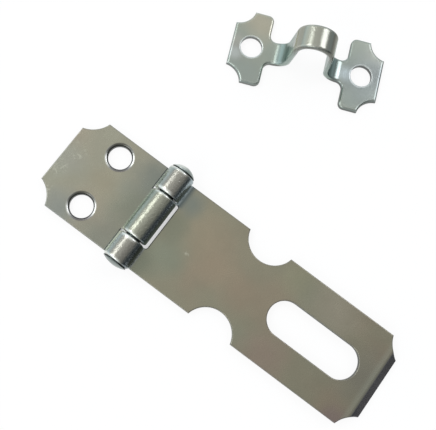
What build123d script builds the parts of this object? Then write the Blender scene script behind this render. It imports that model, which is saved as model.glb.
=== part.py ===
from build123d import *
from math import asin, atan2, cos, degrees, hypot, radians, sin, sqrt
import os

# A pressed-steel padlock hasp: a screwed leaf, a slotted strap hinged to it by a
# peened pin, and the loose staple that the strap closes over. Millimetres, +Z up,
# origin midway between the leaf's screw holes on its back face, +X towards the tip.

# Sheet and hinge
hasp_width = 20.0        # width of the strap and the leaf
sheet = 1.1              # thickness of the strap and the leaf
edge_soft = 0.18         # rounding left by the press on the upper edges
knuckle_soft = 0.38      # rounding of the knuckles' ends
pin_r = 1.6              # hinge pin
pin_clear = 0.05         # pin to knuckle, all round
curl_gap = 0.12          # end of each curl to its own plate
leaf_clear = 0.3         # leaf edge to the strap's knuckles
knuckle_gap = 0.3        # end play between neighbouring knuckles
middle_knuckle = 9.8     # length of the leaf's knuckle
knuckle_over = 0.45      # how far the outer knuckles are spread past the strap's edges
head_r = 2.5             # peened heads of the pin
head_rim = 0.2           # straight rim of each head
head_soft = 0.1          # rounding under each rim
near_dome = 0.58         # height of the dome on the -Y head
far_dome = 1.15          # height of the dome on the +Y head, peened less
head_play = 0.06         # head to the strap's outer knuckles

# Leaf
leaf_reach = 20.95       # hinge axis to the outer edge
hole_to_hinge = 11.7
leaf_hole_spacing = 11.9
leaf_hole_d = 4.6
hole_rim = 0.55          # rounding of each leaf hole's upper rim
leaf_corner_leg = 3.7    # length that each hollow corner takes off both edges
leaf_corner_r = 5.6      # radius of that hollow

# Strap
strap_reach = 53.95      # hinge axis to the end of the lip, seen from above
slot_to_tip = 5.3        # end of the slot to the end of the lip
slot_length = 20.0
slot_width = 7.1
notch_to_slot = 7.0      # middle of the side notches to the other end of the slot
notch_r = 5.0
notch_out = 1.13         # centre of each side notch outside the strap's edge
knuckle_notch = 0.42     # see-through gap between the strap and the middle knuckle
knuckle_notch_r = 0.5    # inner corners of that gap
tip_corner_leg_x = 3.25
tip_corner_leg_y = 3.5
tip_corner_r = 5.6
lip_length = 1.55        # straight part of the lip, along the sheet
lip_bend = 35.0          # how far the lip turns down, degrees
lip_bend_r = 0.15        # inner radius of that bend

# Staple
staple_sheet = 1.0
staple_soft = 0.45       # rounding of the feet's upper edges
staple_x = 5.7           # centre of the staple, from the hinge axis
staple_y = 44.5
staple_turn = 22.8       # turn about Z, degrees
staple_length = 31.2
staple_hole_spacing = 23.0
staple_hole_d = 4.4
foot_width = 15.2        # across the strip
foot_inner = 8.2         # inner edge of each foot, from the middle
foot_inner_r = 1.2       # rounded inner corners
foot_neck_r = 1.4        # hollow between a foot and the neck
foot_corner_leg_x = 3.4
foot_corner_leg_y = 3.1
foot_corner_r = 3.8
neck_width = 4.65        # width of the neck and of the bow
bow_r = 3.95             # outer radius of the bow
bow_height = 13.4        # top of the bow above the base
bow_splay = 4.5          # how far each leg leans outwards, degrees
bow_bend_r = 2.8         # hollow where each leg turns up

# Worked-out values
knuckle_bore = pin_r + pin_clear
knuckle_r = knuckle_bore + sheet
axis_z = knuckle_r
hinge_x = hole_to_hinge
curl_end = degrees(asin((axis_z - sheet - curl_gap) / knuckle_r))
notch_width = middle_knuckle + 2 * knuckle_gap
outer_end = hasp_width / 2 + knuckle_over
outer_knuckle = outer_end - notch_width / 2
slot_x = strap_reach - slot_to_tip - slot_length / 2
notch_x = slot_x - slot_length / 2 - notch_to_slot
slack = 2 * max(knuckle_r, staple_sheet)


def block(x_low, x_high, y_low, y_high, z_low, z_high):
    size = Vector(x_high - x_low, y_high - y_low, z_high - z_low)
    middle = Vector(x_low + x_high, y_low + y_high, z_low + z_high) / 2
    return Pos(middle) * Box(size.X, size.Y, size.Z)


def prism(face, z_low, z_high):
    return Pos(0, 0, z_low) * extrude(face, z_high - z_low)


def closed_face(*lines):
    """The face inside a closed run of lines and arcs."""
    return make_face(Curve() + list(lines))


def hollow_centre(leg_x, leg_y, radius):
    """Centre of a hollow corner's arc, outside the corner, for a corner at the origin."""
    chord = hypot(leg_x, leg_y)
    rise = sqrt(radius ** 2 - chord ** 2 / 4)
    out_x = -leg_x / 2 + rise * leg_y / chord
    out_y = -leg_y / 2 + rise * leg_x / chord
    return out_x, out_y


def hollow_corners(end_x, half_width, leg_x, leg_y, radius):
    """Discs that cut the two hollow corners at one end of a sheet."""
    out_x, out_y = hollow_centre(leg_x, leg_y, radius)
    centre_x = end_x + (out_x if end_x > 0 else -out_x)
    places = [Pos(centre_x, half_width + out_y), Pos(centre_x, -half_width - out_y)]
    return Sketch() + [place * Circle(radius) for place in places]


def soften(solid, z_top, radius, x_clear=0):
    """Round the edges of a sheet's upper face, but for those centred nearer to x = 0 than x_clear."""
    edges = []
    for edge in solid.edges():
        box = edge.bounding_box()
        flat = max(abs(box.min.Z - z_top), abs(box.max.Z - z_top)) < radius / 100
        if flat and abs(box.center().X) >= x_clear:
            edges.append(edge)
    return fillet(edges, radius)


def curl(length, plate_sign):
    """One knuckle about the Y axis: the sheet goes under the pin and back over it to its plate."""
    wall = Pos((knuckle_bore + knuckle_r) / 2, 0) * Rectangle(sheet, length)
    wall = fillet(wall.vertices().sort_by(Axis.X)[-2:], knuckle_soft)
    tube = revolve(wall, Axis.Y)
    wedge = closed_face(Polyline(
        (0, 0),
        (0, -slack),
        (slack, -slack),
        (slack * cos(radians(curl_end)), -slack * sin(radians(curl_end))),
        close=True,
    ))
    opening = extrude(Plane.XZ * wedge, length, both=True)
    if plate_sign < 0:
        opening = mirror(opening, Plane.YZ)
    return tube - opening


def leaf_hole():
    """What is cut away for one screw hole: a bore that opens in a round upper rim."""
    bore_r = leaf_hole_d / 2
    top = sheet - axis_z
    side = closed_face(
        Polyline((0, -slack), (bore_r, -slack), (bore_r, top - hole_rim)),
        CenterArc((bore_r + hole_rim, top - hole_rim), hole_rim, 180, -90),
        Polyline((bore_r + hole_rim, top), (bore_r + hole_rim, slack), (0, slack), (0, -slack)),
    )
    return revolve(Plane.XZ * side, Axis.Z)


def make_leaf():
    half = hasp_width / 2
    edge_x = -knuckle_r - leaf_clear
    outline = Pos((edge_x - leaf_reach) / 2, 0) * Rectangle(leaf_reach + edge_x, hasp_width)
    outline -= hollow_corners(-leaf_reach, half, leaf_corner_leg, leaf_corner_leg, leaf_corner_r)
    leaf = soften(prism(outline, -axis_z, sheet - axis_z), sheet - axis_z, edge_soft)
    leaf += block(edge_x - sheet, 0, -middle_knuckle / 2, middle_knuckle / 2, -axis_z, sheet - axis_z)
    leaf += curl(middle_knuckle, -1)
    for y_sign in (-1, 1):
        leaf -= Pos(-hole_to_hinge, y_sign * leaf_hole_spacing / 2, 0) * leaf_hole()
    return leaf


def lip_corners():
    """Corners of the bent lip in side view, from the fold to the tip, upper ones first."""
    bend = radians(lip_bend)
    outer_r = lip_bend_r + sheet
    run = outer_r * sin(bend) + lip_length * cos(bend)
    fold_x = strap_reach - run
    top = [
        (fold_x, sheet - axis_z),
        (fold_x + outer_r * sin(bend), sheet - axis_z - outer_r * (1 - cos(bend))),
        (strap_reach, sheet - axis_z - outer_r * (1 - cos(bend)) - lip_length * sin(bend)),
    ]
    drop_x = sheet * sin(bend)
    drop_z = sheet * cos(bend)
    under = [
        (fold_x, -axis_z),
        (top[1][0] - drop_x, top[1][1] - drop_z),
        (top[2][0] - drop_x, top[2][1] - drop_z),
    ]
    return top, under


def make_lip():
    top, under = lip_corners()
    side = closed_face(
        RadiusArc(top[0], top[1], lip_bend_r + sheet),
        Polyline(top[1], top[2], under[2], under[1]),
        RadiusArc(under[0], under[1], lip_bend_r),
        Line(under[0], top[0]),
    )
    return extrude(Plane.XZ * side, hasp_width / 2, both=True)


def make_strap():
    half = hasp_width / 2
    top, _ = lip_corners()
    flat_end = top[0][0]
    outline = Pos(flat_end / 2, 0) * Rectangle(flat_end, hasp_width)
    gap_x = knuckle_r + knuckle_notch
    outline -= RectangleRounded(2 * gap_x, notch_width, knuckle_notch_r)
    for y_sign in (-1, 1):
        outline -= Pos(notch_x, y_sign * (half + notch_out)) * Circle(notch_r)
    outline -= Pos(slot_x, 0) * SlotOverall(slot_length, slot_width)
    strap = prism(outline, -axis_z, sheet - axis_z) + make_lip()
    corners = hollow_corners(strap_reach, half, tip_corner_leg_x, tip_corner_leg_y, tip_corner_r)
    strap -= prism(corners, -slack, slack)
    strap = soften(strap, sheet - axis_z, edge_soft, knuckle_r)
    for y_sign in (-1, 1):
        strap += Pos(0, y_sign * (outer_end - outer_knuckle / 2), 0) * curl(outer_knuckle, 1)
    return strap


def strap_rise():
    """Angle in degrees at which the strap lies when its lip's lower edge meets the base plane."""
    x_low, z_low = lip_corners()[1][2]
    return degrees(atan2(-z_low, x_low) - asin(axis_z / hypot(x_low, z_low)))


def pin_end(dome):
    """Half of the pin, along +Y, with the head at its end."""
    shank = outer_end + head_play
    rim_top = shank + head_rim
    dome_r = (head_r ** 2 + dome ** 2) / (2 * dome)
    tip = rim_top + dome
    half = closed_face(
        Polyline((0, 0), (pin_r, 0), (pin_r, shank), (head_r - head_soft, shank)),
        RadiusArc((head_r - head_soft, shank), (head_r, shank + head_soft), -head_soft),
        Line((head_r, shank + head_soft), (head_r, rim_top)),
        RadiusArc((head_r, rim_top), (0, tip), -dome_r),
        Line((0, tip), (0, 0)),
    )
    return revolve(half, Axis.Y)


def make_pin():
    return pin_end(far_dome) + mirror(pin_end(near_dome), Plane.XZ)


def bow_side():
    """Half of the staple in side view: foot, bend, leaning leg and half of the arch."""
    rise = bow_height - bow_r
    inner_r = bow_r - staple_sheet
    lean = radians(bow_splay)
    bend_z = staple_sheet + bow_bend_r
    bend_x = (bow_r + bow_bend_r - (bend_z - rise) * sin(lean)) / cos(lean)
    outer_bend_r = bow_bend_r + staple_sheet
    end_x = staple_length / 2
    leg_top = [(r * cos(lean), rise + r * sin(lean)) for r in (bow_r, inner_r)]
    leg_foot = [
        (bend_x - r * cos(lean), bend_z - r * sin(lean)) for r in (bow_bend_r, outer_bend_r)
    ]
    return closed_face(
        CenterArc((0, rise), bow_r, bow_splay, 90 - bow_splay),
        Line(leg_top[0], leg_foot[0]),
        CenterArc((bend_x, bend_z), bow_bend_r, 180 + bow_splay, 90 - bow_splay),
        Polyline((bend_x, staple_sheet), (end_x, staple_sheet), (end_x, 0), (bend_x, 0)),
        CenterArc((bend_x, bend_z), outer_bend_r, 180 + bow_splay, 90 - bow_splay),
        Line(leg_foot[1], leg_top[1]),
        CenterArc((0, rise), inner_r, bow_splay, 90 - bow_splay),
        Line((0, bow_height - staple_sheet), (0, bow_height)),
    )


def staple_outline():
    """The staple seen from above: two cross-shaped feet on one strip."""
    foot_length = staple_length / 2 - foot_inner
    outline = Rectangle(staple_length, neck_width)
    for x_sign in (-1, 1):
        outline += Pos(x_sign * (foot_inner + foot_length / 2), 0) * Rectangle(foot_length, foot_width)
    for half_width, radius in ((neck_width / 2, foot_neck_r), (foot_width / 2, foot_inner_r)):
        corners = [
            vertex for vertex in outline.vertices()
            if hypot(abs(vertex.X) - foot_inner, abs(vertex.Y) - half_width) < edge_soft / 100
        ]
        outline = fillet(corners, radius)
    for end_x in (-staple_length / 2, staple_length / 2):
        outline -= hollow_corners(end_x, foot_width / 2, foot_corner_leg_x, foot_corner_leg_y, foot_corner_r)
    return outline


def make_staple():
    side = bow_side()
    strip = extrude(Plane.XZ * (side + mirror(side, Plane.YZ)), foot_width / 2, both=True)
    staple = strip & prism(staple_outline(), -slack, bow_height + slack)
    staple = soften(staple, staple_sheet, staple_soft)
    hole = Cylinder(staple_hole_d / 2, 2 * slack)
    for x_sign in (-1, 1):
        staple -= Pos(x_sign * staple_hole_spacing / 2, 0, 0) * hole
    return Rot(0, 0, staple_turn) * staple


hinge = Pos(hinge_x, 0, axis_z)
nodes = {
    "fixed_leaf": hinge * make_leaf(),
    "strap": hinge * Rot(0, -strap_rise(), 0) * make_strap(),
    "hinge_pin": hinge * make_pin(),
    "staple": Pos(hinge_x + staple_x, staple_y, 0) * make_staple(),
}

os.makedirs("parts", exist_ok=True)
for name, solid in nodes.items():
    export_step(solid, f"parts/{name}.step")
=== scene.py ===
import bpy
import math
from mathutils import Matrix, Vector

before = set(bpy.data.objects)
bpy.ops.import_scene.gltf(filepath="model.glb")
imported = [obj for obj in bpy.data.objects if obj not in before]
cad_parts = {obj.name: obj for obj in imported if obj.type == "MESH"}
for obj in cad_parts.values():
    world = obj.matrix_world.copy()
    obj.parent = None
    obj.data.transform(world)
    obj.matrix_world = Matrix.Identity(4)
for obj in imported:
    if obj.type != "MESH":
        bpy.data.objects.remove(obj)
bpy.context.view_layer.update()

MM = 0.001
WHITE = (1, 1, 1, 1)

# Places on the part that the finishes follow, in mm
HINGE = (11.7, 0, 2.75)     # a point on the pin's axis
KNUCKLE_R = 2.75            # outside of the knuckles
KNUCKLE_START = 5.2         # where the strap's two knuckles start, to either side
KNUCKLE_END = 10.45         # where they end
HEAD_RIM = 10.71            # where the dome starts on each of the pin's heads
HOLE_Y = 5.95               # how far the leaf's screw holes stand to either side
HOLE_R = 2.3
LIP_X = 64.0                # where the strap's lip turns down
FOOT_TOP = 1.0              # upper face of the staple's feet
BOW_LOW = 6.5               # height at which the bow's tint starts
BOW_HIGH = 11.0             # height at which it is full
STAPLE_TURN = math.radians(22.8)
STAPLE_SIDE = (-math.sin(STAPLE_TURN), math.cos(STAPLE_TURN))    # which way its long edges face

# Sizes of the marks in the zinc, in mm
PATCH = 11.0
CLOUD = 3.5
GRAIN = 0.25
TEAR = 0.22                 # on cut edges, drawn out by TEAR_STRETCH across the sheet
TEAR_STRETCH = (1, 1, 6)
STAIN_RAGGED = 4.0          # lumps of a spot's uneven rim
DENT_DEPTH = 0.06
GAP_REACH = 0.8             # how far the painted shade and dirt reach out of a gap


class Wire:
    """A node's output that can be used in sums."""

    def __init__(self, tree, socket):
        self.tree = tree
        self.socket = socket

    def sum(self, operation, first, second=0.0):
        return add_node(self.tree, "ShaderNodeMath", {"operation": operation}, {0: first, 1: second})

    def __add__(self, other):
        return self.sum("ADD", self, other)

    def __radd__(self, other):
        return self.sum("ADD", other, self)

    def __sub__(self, other):
        return self.sum("SUBTRACT", self, other)

    def __rsub__(self, other):
        return self.sum("SUBTRACT", other, self)

    def __mul__(self, other):
        return self.sum("MULTIPLY", self, other)

    def __rmul__(self, other):
        return self.sum("MULTIPLY", other, self)

    def __truediv__(self, other):
        return self.sum("DIVIDE", self, other)

    def __rtruediv__(self, other):
        return self.sum("DIVIDE", other, self)

    def __abs__(self):
        return self.sum("ABSOLUTE", self)


def add_node(tree, kind, settings=None, sockets=None, output=0):
    """Add one node: its settings first, then the values or links of its sockets."""
    node = tree.nodes.new(kind)
    for name, value in (settings or {}).items():
        if name == "stops":
            ramp = node.color_ramp
            while len(ramp.elements) < len(value):
                ramp.elements.new(0.5)
            for element, (place, colour) in zip(ramp.elements, value):
                element.position = place
                element.color = colour
        else:
            setattr(node, name, value)
    for name, value in (sockets or {}).items():
        if isinstance(value, Wire):
            tree.links.new(value.socket, node.inputs[name])
        else:
            node.inputs[name].default_value = value
    return Wire(tree, node.outputs[output])


def srgb(red, green, blue):
    """A colour as it looks on screen, 0 to 255, in the linear values that nodes take."""
    shares = (red / 255, green / 255, blue / 255)
    linear = [c / 12.92 if c <= 0.04045 else ((c + 0.055) / 1.055) ** 2.4 for c in shares]
    return (*linear, 1.0)


class Finish:
    """A metal's material on Object coordinates, with one shader."""

    def __init__(self, name):
        self.material = bpy.data.materials.new(name)
        self.material.use_nodes = True
        self.tree = self.material.node_tree
        self.tree.nodes.clear()
        self.shader = self.tree.nodes.new("ShaderNodeBsdfPrincipled")
        self.shader.inputs["Metallic"].default_value = 1.0
        surface = self.tree.nodes.new("ShaderNodeOutputMaterial")
        self.tree.links.new(self.shader.outputs[0], surface.inputs["Surface"])
        self.place = self.add("ShaderNodeTexCoord", output="Object")

    def add(self, kind, settings=None, sockets=None, output=0):
        return add_node(self.tree, kind, settings, sockets, output)

    def noise(self, size, detail=2.0, stretch=(1, 1, 1), shift=(0, 0, 0)):
        """Noise from 0 to 1, with lumps of about size mm, longer along an axis whose stretch is larger."""
        scale = [1.0 / (size * MM * s) for s in stretch]
        place = self.add("ShaderNodeMapping", {}, {"Vector": self.place, "Location": shift, "Scale": scale})
        return self.add("ShaderNodeTexNoise", {}, {"Vector": place, "Scale": 1.0, "Detail": detail})

    def band(self, value, low, high):
        """0 below low, 1 above high, smooth between."""
        settings = {"interpolation_type": "SMOOTHSTEP"}
        return self.add("ShaderNodeMapRange", settings, {"Value": value, "From Min": low, "From Max": high})

    def blend(self, share, first, second, kind="MIX"):
        settings = {"data_type": "RGBA", "blend_type": kind}
        return self.add("ShaderNodeMix", settings, {0: share, 6: first, 7: second}, output=2)

    def part(self, axis):
        """One coordinate of the place on the piece, in mm."""
        return self.add("ShaderNodeSeparateXYZ", {}, {0: self.place}, output=axis) / MM

    def facing(self, axis):
        """One coordinate of the surface's own direction, in the piece's frame."""
        normal = self.add("ShaderNodeTexCoord", output="Normal")
        return self.add("ShaderNodeSeparateXYZ", {}, {0: normal}, output=axis)

    def away_from(self, point, keep):
        """Distance in mm to a point, counted only along the axes to keep."""
        flat = self.add("ShaderNodeVectorMath", {"operation": "MULTIPLY"}, {0: self.place, 1: keep})
        values = {0: flat, 1: [p * k * MM for p, k in zip(point, keep)]}
        return self.add("ShaderNodeVectorMath", {"operation": "DISTANCE"}, values, output="Value") / MM

    def spot(self, x, y, radius):
        """A soft spot of tint on the sheet, 1 in the middle and 0 at its uneven rim."""
        uneven = 0.5 * (self.noise(STAIN_RAGGED, shift=(x, y, 0)) - 0.5)
        return self.band(1 - self.away_from((x, y, 0), (1, 1, 0)) / radius + uneven, 0.0, 0.9)

    def flecks(self, x, y, radius, fleck_size):
        """Small ragged marks inside a stain."""
        ragged = self.noise(fleck_size, detail=3.0, shift=(y, x, 0))
        return self.spot(x, y, radius) * self.band(ragged, 0.54, 0.66)

    def edge(self, width):
        """1 on the rounded edges of the sheet, 0 a little way in from them."""
        bevel = self.add("ShaderNodeBevel", {"samples": 6}, {"Radius": width * MM})
        normal = self.add("ShaderNodeNewGeometry", output="Normal")
        values = {0: bevel, 1: normal}
        same = self.add("ShaderNodeVectorMath", {"operation": "DOT_PRODUCT"}, values, output="Value")
        return self.band(1 - same, 0.01, 0.12)

    def upright(self):
        """1 on faces that stand up from the sheet, 0 on those that lie flat."""
        return 1 - self.band(abs(self.facing("Z")), 0.2, 0.5)

    def crevice(self, reach):
        """1 deep in gaps and corners, 0 in the open."""
        settings = {"samples": 6, "only_local": False}
        seen = self.add("ShaderNodeAmbientOcclusion", settings, {"Distance": reach * MM}, output="AO")
        return self.band(1 - seen, 0.45, 0.95)

    def feed(self, **wires):
        for socket, wire in wires.items():
            self.tree.links.new(wire.socket, self.shader.inputs[socket.replace("_", " ")])


# Tints of worn and cut zinc, of dirt and painted shade in the gaps, and of burnish with a painted highlight
SCUFF = srgb(184, 185, 170)
CUT_STEEL = srgb(112, 114, 112)
GAP_DIRT_AND_SHADE = srgb(44, 48, 47)
BURNISHED_AND_HIGHLIGHT = srgb(230, 233, 226)

# Painted shade and reflections round the knuckles: left is the leaf's side, right the strap's and far the
# staple's
PAINTED_SHADE_BESIDE_KNUCKLE = srgb(86, 97, 99)
PAINTED_REFLECTION_RIGHT_LIMB = srgb(160, 173, 176)
PAINTED_REFLECTION_LEFT_LIMB = srgb(216, 228, 222)

# Painted highlights and shade on the leaf's screw holes: above is up in the picture, towards -X and +Y
PAINTED_HIGHLIGHT_HOLE_SIDES = srgb(214, 216, 210)
PAINTED_SHADE_HOLE_ABOVE = srgb(72, 72, 68)
PAINTED_SHADE_HOLE_BELOW = srgb(98, 96, 98)
PAINTED_SHADE_HOLE_BORE = srgb(62, 62, 58)

# Tints of the strap's tip: a painted highlight along the fold, and the lip
PAINTED_FOLD_HIGHLIGHT = srgb(156, 160, 146)
LIP = srgb(149, 146, 147)

# Painted highlight on the far head of the pin
PAINTED_HIGHLIGHT_DOME = srgb(204, 211, 206)

# Tints of the staple's bow with a painted highlight on its top, of the bends at its feet in painted light
# and shade, and of the sides of its strip, the upper ones in painted shade
PAINTED_CROWN_HIGHLIGHT = srgb(170, 171, 157)
PAINTED_LIGHT_STEEP_BEND = srgb(152, 170, 163)
PAINTED_SHADE_SHALLOW_BEND = srgb(118, 131, 126)
LOW_SIDE = srgb(150, 164, 156)
PAINTED_SHADE_HIGH_SIDE = srgb(92, 94, 88)


def start_zinc(name, shift, stains_and_light, scuffs, base, warm, cool):
    """Zinc plate with soft patches of two tints, and with its placed spots, which hold staining, painted
    shade and painted sheen, and its scuffs.
    """
    finish = Finish(name)
    patches = finish.noise(PATCH, detail=1.5, shift=shift)
    tint = finish.blend(0.7 * finish.band(patches, 0.48, 0.72), base, warm)
    tint = finish.blend(0.7 * finish.band(1 - patches, 0.50, 0.74), tint, cool)
    # some spots are painted shade near the knuckles and painted sheen on the staple's feet
    for x, y, radius, strength, spot_tint in stains_and_light:
        tint = finish.blend(strength * finish.spot(x, y, radius), tint, spot_tint)
    for x, y, radius, fleck_size in scuffs:
        tint = finish.blend(0.5 * finish.flecks(x, y, radius, fleck_size), tint, SCUFF)
    return finish, tint


def end_zinc(finish, tint, rough, dented, cut=0.0, edge_mask=0.0, dent_size=0.5, worn=0.0):
    """Grain, painted shade and dirt in the gaps, roughness, dents and edges worn round by so many mm.

    Dented, cut and edge_mask are masks from 0 to 1.
    """
    clouds = finish.noise(CLOUD, detail=3.0)
    grain = finish.noise(GRAIN)
    tears = finish.noise(TEAR, stretch=TEAR_STRETCH)
    dents = finish.noise(dent_size, detail=1.5)
    tint = finish.blend(0.8 * cut, tint, CUT_STEEL)
    # painted shade and dirt: darker deep in gaps and corners
    tint = finish.blend(0.55 * finish.crevice(GAP_REACH), tint, GAP_DIRT_AND_SHADE)
    level = 0.90 + 0.12 * clouds + 0.08 * grain - 0.25 * cut * tears
    finish.feed(Base_Color=finish.blend(1.0, tint, level, "MULTIPLY"))
    finish.feed(Roughness=rough - 0.06 + 0.06 * clouds + 0.06 * grain + 0.2 * cut + 0.22 * edge_mask)
    height = (1 - 0.8 * edge_mask) * (0.10 * grain + (0.08 + 0.82 * dented) * dents) + 0.3 * cut * tears
    values = {"Strength": 1.0, "Distance": DENT_DEPTH * MM, "Height": height}
    if worn:
        values["Normal"] = finish.add("ShaderNodeBevel", {"samples": 8}, {"Radius": worn * MM})
    finish.feed(Normal=finish.add("ShaderNodeBump", {}, values))
    return finish.material


def knuckle_tints(finish, tint, knuckle, left_flank_reflection, right_flank_shade):
    """The knuckles' tops, their flanks and limbs with painted reflections and shade, their ends with
    burnish and a painted highlight, and painted shade on the strap next to its far one.
    """
    along = finish.part("Y")
    across = finish.part("X") - HINGE[0]
    from_axis = finish.away_from(HINGE, (1, 0, 1))
    on_knuckle = 1 - finish.band(from_axis, KNUCKLE_R + 0.15, KNUCKLE_R + 0.85)
    tint = finish.blend(on_knuckle, tint, knuckle)
    # painted reflection on the left flanks, painted shade on the right flanks
    tint = finish.blend(on_knuckle * finish.band(0 - across, 1.3, 2.3), tint, left_flank_reflection)
    tint = finish.blend(on_knuckle * finish.band(across, 1.2, 2.0), tint, right_flank_shade)

    # painted shade on the strap next to its far knuckle
    shade_beside = (1 - on_knuckle) * finish.band(across, 0, 1) * (1 - finish.band(across, 3.0, 4.2))
    far_side = finish.band(along, KNUCKLE_START - 0.6, KNUCKLE_START + 0.2)
    tint = finish.blend(0.9 * shade_beside * far_side, tint, PAINTED_SHADE_BESIDE_KNUCKLE)

    # painted reflections on the right limbs of the middle and far knuckles and on the near knuckle's left
    # limb
    right_limb_reflection = finish.band(across, 1.8, 2.4) * finish.band(along, -KNUCKLE_START, 0.4 - KNUCKLE_START)
    tint = finish.blend(on_knuckle * right_limb_reflection, tint, PAINTED_REFLECTION_RIGHT_LIMB)
    near_side = finish.band(0 - along, KNUCKLE_START - 0.4, KNUCKLE_START)
    left_limb_reflection = finish.band(0 - across, 1.9, 2.3) * near_side
    tint = finish.blend(on_knuckle * left_limb_reflection, tint, PAINTED_REFLECTION_LEFT_LIMB)

    # burnish with a painted highlight at the knuckles' ends, kept off their right flank
    out = abs(along)
    inner_ends = finish.band(out, KNUCKLE_START - 1.0, KNUCKLE_START - 0.4)
    inner_ends = inner_ends * (1 - finish.band(out, KNUCKLE_START + 0.3, KNUCKLE_START + 0.9))
    outer_ends = finish.band(out, KNUCKLE_END - 0.75, KNUCKLE_END - 0.15)
    burnished_and_highlight = on_knuckle * (inner_ends + outer_ends) * (1 - finish.band(across, 0.4, 1.4))
    return finish.blend(0.8 * burnished_and_highlight, tint, BURNISHED_AND_HIGHLIGHT), on_knuckle, burnished_and_highlight


def hole_highlights_and_shade(finish, tint):
    """Painted light on the leaf's two screw holes: rims with painted highlights to either side and painted
    shade above and below, and bores in painted shade.
    """
    for y in (-HOLE_Y, HOLE_Y):
        from_hole = finish.away_from((0, y, 0), (1, 1, 0))
        across = finish.part("X")
        along = finish.part("Y") - y
        sideways = 0.8 * across + 0.6 * along
        upwards = 0.8 * along - 0.6 * across
        # painted highlights to either side of each rim, painted shade above and below it and in the bore
        rim = 0.8 * (1 - finish.band(from_hole, HOLE_R + 0.5, HOLE_R + 0.7))
        tint = finish.blend(rim * finish.band(abs(sideways), 0.6, 2.0), tint, PAINTED_HIGHLIGHT_HOLE_SIDES)
        tint = finish.blend(rim * finish.band(upwards, -0.3, 1.6), tint, PAINTED_SHADE_HOLE_ABOVE)
        tint = finish.blend(rim * finish.band(0 - upwards, 1.2, 2.2), tint, PAINTED_SHADE_HOLE_BELOW)
        tint = finish.blend(1 - finish.band(from_hole, HOLE_R + 0.15, HOLE_R + 0.3), tint, PAINTED_SHADE_HOLE_BORE)
    return tint


def tip_tints(finish, tint):
    """The strap's tip: a painted highlight along the fold, and the lip beyond it."""
    reach = finish.part("X")
    # painted highlight along the fold
    tint = finish.blend(0.35 * finish.band(reach, LIP_X - 1.6, LIP_X - 0.6), tint, PAINTED_FOLD_HIGHLIGHT)
    return finish.blend(finish.band(reach, LIP_X, LIP_X + 0.3), tint, LIP)


def hinged_zinc(name, shift, stains_and_light, scuffs, base, warm, cool, knuckle, left_flank_reflection, right_flank_shade, rim,
                own_tints):
    """The leaf's and the strap's zinc: the same finish, with own_tints for what only one of them has."""
    finish, tint = start_zinc(name, shift, stains_and_light, scuffs, base, warm, cool)
    tint, on_knuckle, burnished_and_highlight = knuckle_tints(finish, tint, knuckle, left_flank_reflection, right_flank_shade)
    tint = own_tints(finish, tint)
    edge = finish.edge(0.45)
    # burnish with a painted highlight on the knuckles' rounded edges
    tint = finish.blend(0.8 * edge * on_knuckle, tint, BURNISHED_AND_HIGHLIGHT)
    edge_mask = edge * (1 - on_knuckle)
    tint = finish.blend(0.85 * edge_mask, tint, rim)
    cut = finish.upright() * (1 - on_knuckle)
    dented = on_knuckle * (1 - 0.7 * burnished_and_highlight)
    return end_zinc(finish, tint, 0.26, dented, cut, edge_mask)


def pin_zinc(name, dome, rim):
    """The pin's zinc: domes with a dark rim against the knuckles, the far one with a painted highlight on
    its left.
    """
    finish = Finish(name)
    along = finish.part("Y")
    on_dome = finish.band(abs(along), HEAD_RIM - 0.09, HEAD_RIM + 0.14)
    tint = finish.blend(on_dome, rim, dome)
    # painted highlight on the far dome's left
    far_head = finish.band(along, HEAD_RIM - 0.11, HEAD_RIM + 0.09)
    left_half = finish.band(HINGE[0] - finish.part("X"), -1.0, 0.6)
    tint = finish.blend(0.9 * far_head * left_half, tint, PAINTED_HIGHLIGHT_DOME)
    return end_zinc(finish, tint, 0.24, on_dome)


def staple_zinc(name, shift, stains_and_light, foot, warm, cool, bow, rim):
    """The staple's zinc: cool feet, a cream bow with a painted highlight on its top, painted light and
    shade on the bends, and edges tinted bright as a painted highlight.
    """
    finish, tint = start_zinc(name, shift, stains_and_light, [], foot, warm, cool)
    height = finish.part("Z")
    high = finish.band(height, BOW_LOW, BOW_HIGH)
    tint = finish.blend(high, tint, bow)
    leftward = 0 - finish.facing("X")
    # painted highlight where the bow's top faces left
    crown_highlight = finish.band(leftward, 0.40, 0.50) * (1 - finish.band(leftward, 0.60, 0.70))
    tint = finish.blend(high * crown_highlight, tint, PAINTED_CROWN_HIGHLIGHT)
    neck = finish.band(height, FOOT_TOP + 0.02, FOOT_TOP + 0.3) * (1 - high)
    # painted light on the steep part of the bends, painted shade on the shallow part
    bend_light_and_shade = finish.blend(finish.band(finish.facing("Z"), 0.80, 0.90), PAINTED_LIGHT_STEEP_BEND, PAINTED_SHADE_SHALLOW_BEND)
    tint = finish.blend(0.8 * neck, tint, bend_light_and_shade)
    sideward = STAPLE_SIDE[0] * finish.facing("X") + STAPLE_SIDE[1] * finish.facing("Y")
    side = finish.band(abs(sideward), 0.6, 0.9)
    tint = finish.blend(0.6 * side * neck, tint, LOW_SIDE)
    # painted shade on the sides of the bow
    tint = finish.blend(0.7 * side * high, tint, PAINTED_SHADE_HIGH_SIDE)
    edge_mask = finish.edge(0.75)
    # painted highlight: the rounded edges tinted near-white
    tint = finish.blend(0.8 * edge_mask, tint, rim)
    cut = finish.upright() * (1 - finish.band(height, FOOT_TOP, FOOT_TOP + 0.1))
    rough = 0.20 + 0.12 * neck
    return end_zinc(finish, tint, rough, 0.28 * high, cut, edge_mask, dent_size=0.32, worn=0.4)


def dress(node, material):
    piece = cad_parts[node]
    piece.data.materials.clear()
    piece.data.materials.append(material)


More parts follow.
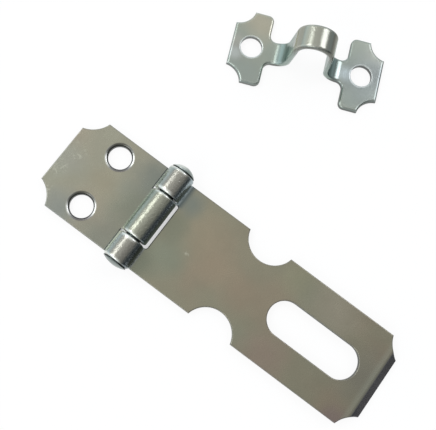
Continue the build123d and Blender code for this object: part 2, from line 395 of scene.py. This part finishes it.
# Spots of staining, painted shade near the knuckles and painted sheen on the staple's feet: x, y and radius
# in mm, strength, tint. Scuffs: x, y, radius and size of their flecks in mm.
leaf_stains_and_shading = [
    (9.0, 6.5, 8.0, 0.85, srgb(121, 127, 120)), (9.0, -1.0, 8.0, 0.8, srgb(122, 127, 114)),
    (7.0, -9.0, 7.0, 0.7, srgb(126, 129, 119)), (-3.0, -9.0, 6.0, 0.7, srgb(132, 138, 134)),
    (-8.0, 0.0, 5.0, 0.6, srgb(148, 149, 139)), (0.5, 0.5, 5.0, 0.6, srgb(151, 145, 125)),
]
leaf_scuffs = [(-8.0, -2.5, 2.6, 0.8), (-7.3, 2.0, 2.8, 0.9), (-7.5, -7.5, 2.5, 0.6)]
strap_stains_and_shading = [
    (22.1, 3.8, 7.0, 0.7, srgb(150, 140, 120)), (27.5, 0.5, 7.5, 0.8, srgb(151, 139, 120)),
    (34.0, -0.8, 6.0, 0.7, srgb(148, 135, 117)), (40.0, 2.5, 6.0, 0.6, srgb(148, 137, 119)),
    (44.5, -8.2, 7.0, 0.7, srgb(146, 131, 119)), (18.5, -4.0, 6.0, 0.8, srgb(130, 136, 120)),
    (41.5, 7.5, 5.0, 0.6, srgb(146, 145, 122)), (51.0, 7.0, 8.0, 0.8, srgb(152, 147, 131)),
    (63.0, 0.0, 9.0, 0.8, srgb(130, 128, 116)), (62.0, -10.0, 4.5, 0.6, srgb(132, 117, 117)),
    (16.5, 7.0, 4.0, 0.8, srgb(121, 128, 121)), (15.5, -8.0, 4.5, 0.8, srgb(118, 123, 108)),
    (16.5, 1.5, 4.5, 0.7, srgb(123, 126, 110)), (21.4, -1.3, 0.45, 0.4, srgb(184, 184, 166)),
]
strap_scuffs = [(21.5, -1.4, 0.9, 0.4)]
staple_stains_and_sheen = [
    (5.4, 45.5, 6.0, 0.9, srgb(170, 167, 150)), (4.5, 38.0, 4.5, 0.8, srgb(150, 151, 146)),
    (9.5, 35.0, 5.0, 0.7, srgb(144, 153, 147)), (3.6, 39.5, 2.4, 0.7, srgb(164, 166, 158)),
    (4.8, 37.0, 2.0, 0.8, srgb(176, 183, 180)), (29.0, 48.5, 9.0, 0.9, srgb(135, 143, 141)),
    (31.0, 51.5, 4.0, 0.8, srgb(125, 131, 129)), (24.9, 47.3, 2.4, 0.8, srgb(174, 186, 188)),
]
dress("fixed_leaf", hinged_zinc(
    "leaf_zinc", (0, 0, 0), leaf_stains_and_shading, leaf_scuffs,
    base=srgb(149, 148, 132), warm=srgb(153, 146, 130), cool=srgb(145, 149, 136),
    knuckle=srgb(149, 151, 137), left_flank_reflection=srgb(158, 172, 164), right_flank_shade=srgb(122, 130, 134),
    rim=srgb(112, 110, 116), own_tints=hole_highlights_and_shade))
dress("strap", hinged_zinc(
    "strap_zinc", (3, 1, 0), strap_stains_and_shading, strap_scuffs,
    base=srgb(139, 136, 118), warm=srgb(144, 133, 116), cool=srgb(135, 137, 120),
    knuckle=srgb(146, 145, 136), left_flank_reflection=srgb(166, 178, 174), right_flank_shade=srgb(124, 132, 134),
    rim=srgb(96, 94, 102), own_tints=tip_tints))
dress("hinge_pin", pin_zinc("pin_zinc", dome=srgb(130, 140, 136), rim=srgb(80, 86, 84)))
dress("staple", staple_zinc(
    "staple_zinc", (7, 2, 0), staple_stains_and_sheen,
    foot=srgb(150, 158, 148), warm=srgb(158, 159, 147), cool=srgb(145, 158, 150),
    bow=srgb(151, 153, 142), rim=srgb(222, 227, 225)))


def make_camera():
    place = Vector((25.21, -15.01, 133.91)) * MM
    aim = Vector((21.79, 8.62, 0.0)) * MM
    picture_up = math.radians(126.53)     # the way on the floor that is up in the picture, from +X
    camera_data = bpy.data.cameras.new("camera")
    camera_data.lens = 57.8
    camera_data.sensor_width = 36.0
    camera_data.clip_start = 0.005
    camera = bpy.data.objects.new("camera", camera_data)
    back = (place - aim).normalized()
    right = Vector((math.cos(picture_up), math.sin(picture_up), 0)).cross(back).normalized()
    up = back.cross(right)
    camera.matrix_world = Matrix.Translation(place) @ Matrix((right, up, back)).transposed().to_4x4()
    bpy.context.scene.collection.objects.link(camera)
    bpy.context.scene.camera = camera


def heading_vector(heading, height):
    """Unit vector by its heading from +X and its height above the floor, in degrees."""
    turn = math.radians(heading)
    lift = math.radians(height)
    return Vector((math.cos(lift) * math.cos(turn), math.cos(lift) * math.sin(turn), math.sin(lift)))


def make_floor():
    """White to the camera, with the part's faint shadow. Metal sees it grow dim towards the strap's tip."""
    half_side = 1.2                            # metres
    drop = -0.05 * MM                          # keeps it just clear of the part's underside
    paper = (0.9, 0.9, 0.9, 1)
    dim_way = heading_vector(35, 0)
    dim_start = 30                             # mm from the origin, along dim_way
    dim_end = 90
    dim_level = 0.3                            # share of white that metal still sees at dim_end
    gap_middle = Vector((14.8, 0, 0)) * MM     # below the gap between the strap and the leaf's knuckle
    gap_in = 5                                 # mm from its middle: more of the shadow shows
    gap_out = 9                                # mm from its middle: the shadow is faint again
    gap_glow = 0.55                            # share of plain white inside gap_in
    open_glow = 0.9                            # share of plain white outside gap_out

    mesh = bpy.data.meshes.new("floor")
    corners = [(x * half_side, y * half_side, drop) for x, y in ((-1, -1), (1, -1), (1, 1), (-1, 1))]
    mesh.from_pydata(corners, [], [(0, 1, 2, 3)])
    floor = bpy.data.objects.new("floor", mesh)
    bpy.context.scene.collection.objects.link(floor)
    material = bpy.data.materials.new("pale_floor")
    material.use_nodes = True
    tree = material.node_tree
    tree.nodes.clear()
    camera_ray = add_node(tree, "ShaderNodeLightPath", output="Is Camera Ray")
    glossy_ray = add_node(tree, "ShaderNodeLightPath", output="Is Glossy Ray")
    clear_ray = add_node(tree, "ShaderNodeLightPath", output="Is Transmission Ray")
    place = add_node(tree, "ShaderNodeTexCoord", output="Object")
    beyond = add_node(tree, "ShaderNodeVectorMath", {"operation": "DOT_PRODUCT"},
                      {0: place, 1: dim_way}, output="Value") / MM
    dim = add_node(tree, "ShaderNodeMapRange", {},
                   {"Value": beyond, "From Min": dim_start, "From Max": dim_end,
                    "To Min": 1.0, "To Max": dim_level})
    from_gap = add_node(tree, "ShaderNodeVectorMath", {"operation": "DISTANCE"},
                        {0: place, 1: gap_middle}, output="Value") / MM
    glow_share = add_node(tree, "ShaderNodeMapRange", {"interpolation_type": "SMOOTHSTEP"},
                          {"Value": from_gap, "From Min": gap_in, "From Max": gap_out,
                           "To Min": gap_glow, "To Max": open_glow})
    share = glow_share * (camera_ray + glossy_ray + clear_ray)
    level = 1 - glossy_ray * (1 - dim)
    lit = add_node(tree, "ShaderNodeBsdfDiffuse", {}, {"Color": paper})
    glow = add_node(tree, "ShaderNodeEmission", {}, {"Color": level, "Strength": 1.0})
    mixed = add_node(tree, "ShaderNodeMixShader", {}, {0: share, 1: lit, 2: glow})
    surface = tree.nodes.new("ShaderNodeOutputMaterial")
    tree.links.new(mixed.socket, surface.inputs["Surface"])
    mesh.materials.append(material)


def make_world():
    """White to the camera. Metal sees a pale studio that falls dark beyond the strap's tip."""
    dark_way = heading_vector(5, 8)
    # Degrees away from dark_way, and the level there
    falloff = ((5, 0.05), (17, 0.20), (38, 0.46), (62, 0.57), (82, 0.94), (100, 1.04))
    ramp_top = 2                      # a ramp's colours end at 1, so it holds the levels divided by this
    cool_tint = (0.87, 1.0, 1.1, 1)
    white_above = 0.7                 # height above the floor, as a sine, from which it is plain white
    cool_below = 0.1                  # height below which it has all of the cool tint
    mix = {"data_type": "RGBA"}

    world = bpy.data.worlds.new("studio")
    bpy.context.scene.world = world
    world.use_nodes = True
    tree = world.node_tree
    tree.nodes.clear()
    camera_ray = add_node(tree, "ShaderNodeLightPath", output="Is Camera Ray")
    direction = add_node(tree, "ShaderNodeTexCoord", output="Generated")
    towards = add_node(tree, "ShaderNodeVectorMath", {"operation": "DOT_PRODUCT"},
                       {0: direction, 1: dark_way}, output="Value")
    turned = towards.sum("ARCCOSINE", towards)
    stops = []
    for angle, level in falloff:
        grey = level / ramp_top
        stops.append((angle / 180, (grey, grey, grey, 1.0)))
    sky = ramp_top * add_node(tree, "ShaderNodeValToRGB", {"stops": stops}, {0: turned / math.pi})
    lift = add_node(tree, "ShaderNodeSeparateXYZ", {}, {0: direction}, output="Z")
    low = add_node(tree, "ShaderNodeMapRange", {},
                   {"Value": lift, "From Min": white_above, "From Max": cool_below})
    tint = add_node(tree, "ShaderNodeMix", mix, {0: low, 6: WHITE, 7: cool_tint}, output=2)
    tint = add_node(tree, "ShaderNodeMix", mix, {0: camera_ray, 6: tint, 7: WHITE}, output=2)
    level = camera_ray + (1 - camera_ray) * sky
    background = add_node(tree, "ShaderNodeBackground", {}, {"Color": tint, "Strength": level})
    output = tree.nodes.new("ShaderNodeOutputWorld")
    tree.links.new(background.socket, output.inputs["Surface"])


def make_lamp(name, heading, height, width, tall, level, tint):
    """A softbox half a metre off. Its place and its size are angles, in degrees, seen from the origin."""
    away = 0.5
    place = away * heading_vector(heading, height)
    size = [2 * away * math.tan(math.radians(angle) / 2) for angle in (width, tall)]
    lamp_data = bpy.data.lights.new(name, "AREA")
    lamp_data.shape = "RECTANGLE"
    lamp_data.size, lamp_data.size_y = size
    lamp_data.energy = level * math.pi * size[0] * size[1]
    lamp_data.color = tint
    lamp = bpy.data.objects.new(name, lamp_data)
    lamp.matrix_world = Matrix.Translation(place) @ place.to_track_quat("Z", "Y").to_matrix().to_4x4()
    bpy.context.scene.collection.objects.link(lamp)


make_camera()
make_floor()
make_world()
make_lamp("left_softbox", heading=186, height=52, width=38, tall=20, level=3.05, tint=(0.98, 1.0, 1.03))
make_lamp("front_softbox", heading=262, height=42, width=22, tall=16, level=3.0, tint=(1.0, 1.0, 1.0))
make_lamp("right_softbox", heading=62, height=46, width=23, tall=23, level=3.0, tint=(1.0, 1.0, 1.1))
bpy.context.scene.view_settings.view_transform = "Standard"
